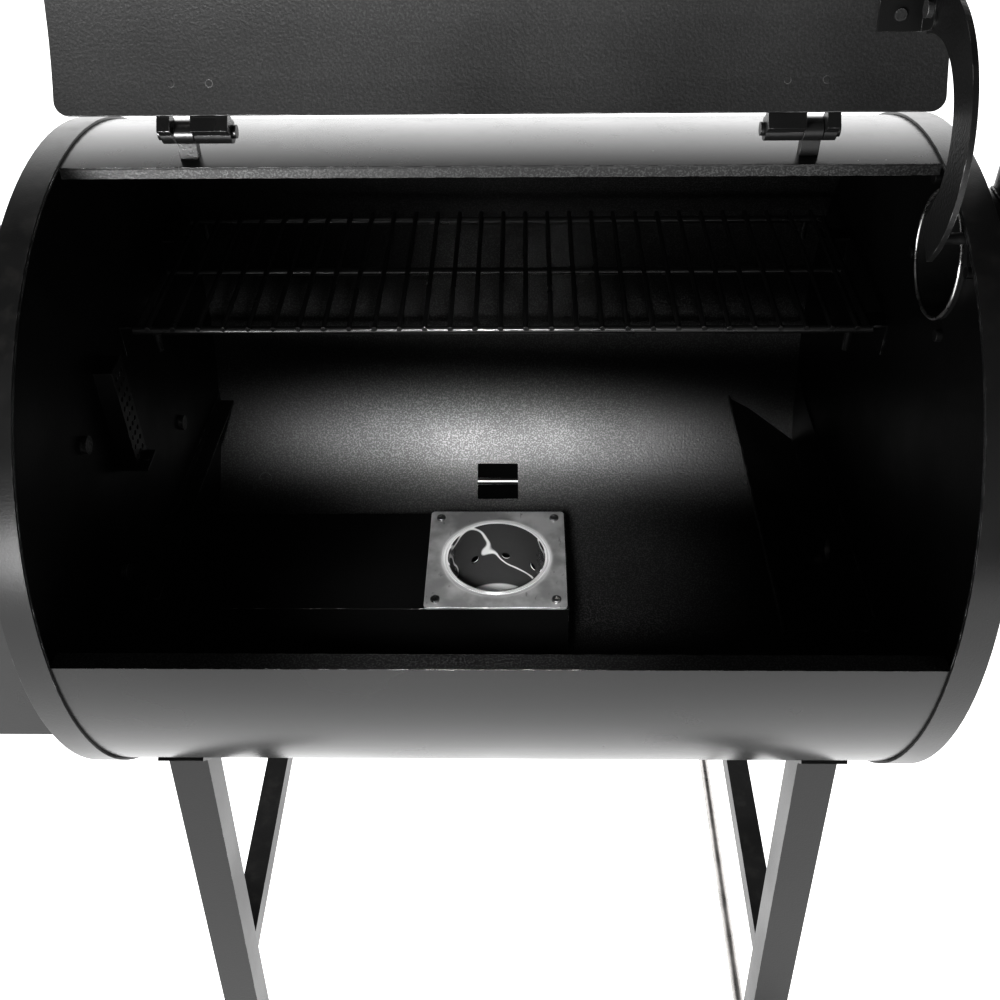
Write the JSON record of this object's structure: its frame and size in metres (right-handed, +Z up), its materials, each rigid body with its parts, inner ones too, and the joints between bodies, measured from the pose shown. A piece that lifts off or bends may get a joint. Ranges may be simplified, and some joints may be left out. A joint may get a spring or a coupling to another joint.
{
  "type": "pellet smoker",
  "caption": "Round-barrel wood pellet smoker on a splayed stand: hinged lid with stay arm, burn pot, upper wire rack, side hopper, chimney and wheels.",
  "frame": {"origin": "bottom centre of the whole object's box at rest, on the floor between the legs", "axes": "+X along the chamber's axis from the hopper towards the chimney, +Y to the rear where the lid is hinged, +Z up"},
  "size_m": [1.0862, 0.675, 1.5122],
  "materials": {
    "chamber_paint": "semi-gloss black powder coat with a fine grain",
    "rim_paint": "satin black powder coat",
    "lid_paint": "black powder coat with a fine grain",
    "black_steel": "black heat-resistant paint",
    "stand_paint": "satin black powder coat",
    "stainless": "brushed stainless steel",
    "zinc_fasteners": "dull zinc plate",
    "heater_steel": "heat-stained steel",
    "rack_enamel": "black enamel over wire",
    "auger_steel": "bare rolled steel",
    "zinc": "zinc plate",
    "galvanised": "galvanised sheet",
    "motor_paint": "grey paint",
    "hopper_paint": "semi-gloss black powder coat",
    "chimney_paint": "satin black heat-resistant paint",
    "black_plastic": "textured black plastic",
    "foot_rubber": "matte rubber",
    "tyre": "moulded tread",
    "wheel_plastic": "moulded plastic",
    "window_glass": "clear",
    "needle_paint": "matte red"
  },
  "bodies": {
    "chamber": {"barrel_shell": "chamber_paint", "end_wall_left": "chamber_paint", "end_wall_right": "chamber_paint", "end_rims": "rim_paint", "hinge_posts": "black_steel", "auger_cover": "black_steel", "vent_cover": "black_steel", "tray_ledge_left": "black_steel", "grease_trough": "black_steel", "rack_hangers": "black_steel", "probe_guard": "black_steel", "auger_tube": "black_steel", "legs_left": "stand_paint", "legs_right": "stand_paint", "side_braces": "stand_paint", "rear_rail": "stand_paint", "barrel_cradles": "stand_paint", "burn_pot": "stainless", "temperature_probe": "stainless", "burn_pot_screws": "zinc_fasteners", "chimney_screws": "zinc_fasteners", "frame_bolts": "zinc_fasteners", "igniter": "heater_steel", "axle": "zinc", "axle_caps": "zinc", "grease_spout": "zinc", "hopper_chute": "galvanised", "hopper_guard": "galvanised", "fan_casing": "galvanised", "auger_motor": "motor_paint", "hopper_cabinet": "hopper_paint", "hopper_hinges": "hopper_paint", "chimney_pipe": "chimney_paint", "control_panel": "black_plastic", "foot_pads": "foot_rubber", "control_screen": "window_glass"},
    "lid": {"lid_sheet": "lid_paint", "lid_handle_bar": "stainless", "lid_handle_posts": "stainless", "thermometer_case": "stainless", "thermometer_window": "window_glass", "hinge_leaves": "black_steel", "hinge_pins": "black_steel", "lid_rivets": "black_steel", "stay_bracket": "black_steel", "stay_arm": "black_steel"},
    "needle": {"thermometer_needle": "needle_paint"},
    "rack": {"upper_rack": "rack_enamel"},
    "auger": {"auger": "auger_steel"},
    "fan": {"fan_wheel": "galvanised"},
    "hopper_lid": {"hopper_lid": "hopper_paint"},
    "knob": {"control_knob": "black_plastic"},
    "button": {"power_button": "black_plastic"},
    "chimney_cap": {"chimney_cap": "chimney_paint"},
    "wheel_front": {"tyre_front": "tyre", "wheel_front": "wheel_plastic"},
    "wheel_rear": {"tyre_rear": "tyre", "wheel_rear": "wheel_plastic"},
    "bail": {"bucket_bail": "zinc"},
    "bucket": {"grease_bucket": "zinc"}
  },
  "joints": [
    {"name": "lid_hinge", "type": "hinge", "parent": "chamber", "child": "lid", "pos_m": [0.0509, -0.014, 1.104], "axis": [1, 0, 0], "range_deg": [0, 130]},
    {"name": "thermometer_needle_turn", "type": "hinge", "parent": "lid", "child": "needle", "pos_m": [0.0509, 0.03342, 1.30891], "axis": [0, -0.9976, -0.0698], "range_deg": [0, 270]},
    {"name": "rack_lift", "type": "slide", "parent": "chamber", "child": "rack", "axis": [0, 0, 1], "range_m": [0, 0.05]},
    {"name": "auger_turn", "type": "hinge", "parent": "chamber", "child": "auger", "pos_m": [-0.2491, 0, 0.597], "axis": [1, 0, 0], "continuous": true},
    {"name": "fan_turn", "type": "hinge", "parent": "chamber", "child": "fan", "pos_m": [-0.3891, 0.047, 0.595], "axis": [0, 1, 0], "continuous": true},
    {"name": "hopper_lid_hinge", "type": "hinge", "parent": "chamber", "child": "hopper_lid", "pos_m": [-0.4201, 0.162, 0.936], "axis": [-1, 0, 0], "range_deg": [0, 95]},
    {"name": "knob_turn", "type": "hinge", "parent": "chamber", "child": "knob", "pos_m": [-0.3831, -0.17, 0.83], "axis": [0, 1, 0], "range_deg": [0, 270]},
    {"name": "button_press", "type": "slide", "parent": "chamber", "child": "button", "axis": [0, 1, 0], "range_m": [0, 0.002], "stiffness_N_per_m": 400},
    {"name": "cap_height", "type": "slide", "parent": "chamber", "child": "chimney_cap", "axis": [0, 0, 1], "range_m": [-0.006, 0.02]},
    {"name": "front_wheel_turn", "type": "hinge", "parent": "chamber", "child": "wheel_front", "pos_m": [0.3329, -0.313, 0.08], "axis": [0, 1, 0], "continuous": true},
    {"name": "rear_wheel_turn", "type": "hinge", "parent": "chamber", "child": "wheel_rear", "pos_m": [0.3329, 0.313, 0.08], "axis": [0, 1, 0], "continuous": true},
    {"name": "bail_swing", "type": "hinge", "parent": "chamber", "child": "bail", "pos_m": [0.4829, 0.03, 0.636], "axis": [1, 0, 0], "range_deg": [-20, 20]},
    {"name": "bucket_tilt", "type": "hinge", "parent": "bail", "child": "bucket", "pos_m": [0.4829, 0.03, 0.5616], "axis": [0, 1, 0], "range_deg": [-15, 15]}
  ]
}
